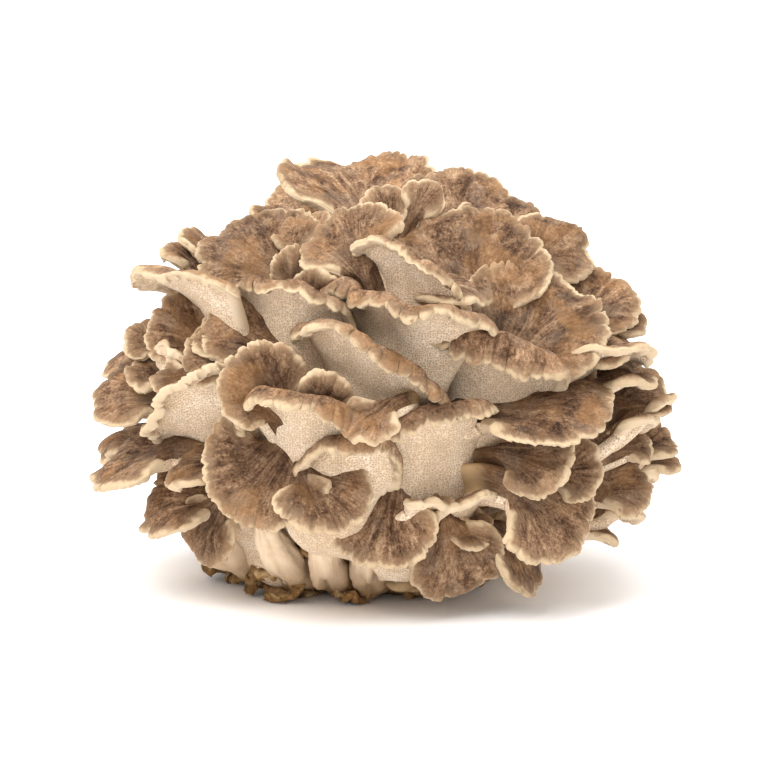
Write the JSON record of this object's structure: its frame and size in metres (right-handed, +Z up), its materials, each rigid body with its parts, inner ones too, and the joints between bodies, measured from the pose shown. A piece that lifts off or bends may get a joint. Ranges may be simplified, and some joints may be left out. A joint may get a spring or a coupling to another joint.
{
  "type": "maitake mushroom cluster",
  "caption": "Whole picked maitake cluster: overlapping fan-shaped brown caps with pored cream undersides, branching from one thick flat-cut foot, for kitchen and market scenes.",
  "frame": {"origin": "on the flat cut underside of the foot, 10 mm towards +X from the middle of the foot", "axes": "+Z up, away from the face it rests on; -Y the side with the largest open fans; +X to the right of a viewer facing that side"},
  "size_m": [0.2341, 0.2313, 0.1735],
  "materials": {
    "cap_flesh": "matte grey-brown fibrous skin above, cream pored face below",
    "stem_flesh": "matte cream flesh, smooth to faintly fibrous"
  },
  "bodies": {
    "root": {"branching_base": "stem_flesh", "crown_cap": "cap_flesh", "crown_right_rear": "cap_flesh", "crown_right_outer": "cap_flesh", "upper_right_cap": "cap_flesh", "great_right_cap": "cap_flesh", "right_fan_cap": "cap_flesh", "right_lip_cap": "cap_flesh", "shoulder_right_cap": "cap_flesh", "shoulder_right_leaflet": "cap_flesh", "right_ledge_cap": "cap_flesh", "right_outer_cap": "cap_flesh", "right_tongue_cap": "cap_flesh", "right_lower_cap": "cap_flesh", "front_great_cap": "cap_flesh", "front_right_leaflet": "cap_flesh", "front_right_skirt": "cap_flesh", "lower_right_cream_a": "cap_flesh", "lower_right_cap": "cap_flesh", "front_hanging_cap": "cap_flesh", "front_low_cap": "cap_flesh", "upper_left_cap": "cap_flesh", "upper_middle_cap": "cap_flesh", "middle_high_cap": "cap_flesh", "middle_tongue": "cap_flesh", "middle_wide_cap": "cap_flesh", "middle_cap": "cap_flesh", "left_high_cap": "cap_flesh", "left_shoulder_cap": "cap_flesh", "left_inner_cap": "cap_flesh", "left_shell_cap": "cap_flesh", "left_ruffle": "cap_flesh", "left_outer_cap": "cap_flesh", "left_pale_cap": "cap_flesh", "left_bowl_cap": "cap_flesh", "left_low_cap": "cap_flesh", "left_low_leaflet": "cap_flesh", "front_left_skirt": "cap_flesh", "lower_left_cap": "cap_flesh", "left_hanging_cap": "cap_flesh", "lower_left_stalk": "cap_flesh", "back_ring_1_cap_1": "cap_flesh", "back_ring_1_cap_2": "cap_flesh", "back_ring_1_cap_3": "cap_flesh", "back_ring_1_cap_4": "cap_flesh", "back_ring_2_cap_1": "cap_flesh", "back_ring_2_cap_2": "cap_flesh", "back_ring_2_cap_3": "cap_flesh", "back_ring_2_cap_4": "cap_flesh", "back_ring_2_cap_5": "cap_flesh", "back_ring_3_cap_1": "cap_flesh", "back_ring_3_cap_2": "cap_flesh", "back_ring_3_cap_3": "cap_flesh", "back_ring_3_cap_4": "cap_flesh", "back_ring_3_cap_5": "cap_flesh", "back_ring_4_cap_1": "cap_flesh", "back_ring_4_cap_2": "cap_flesh", "back_ring_4_cap_3": "cap_flesh", "back_ring_5_cap_1": "cap_flesh", "back_ring_5_cap_2": "cap_flesh"}
  },
  "joints": []
}
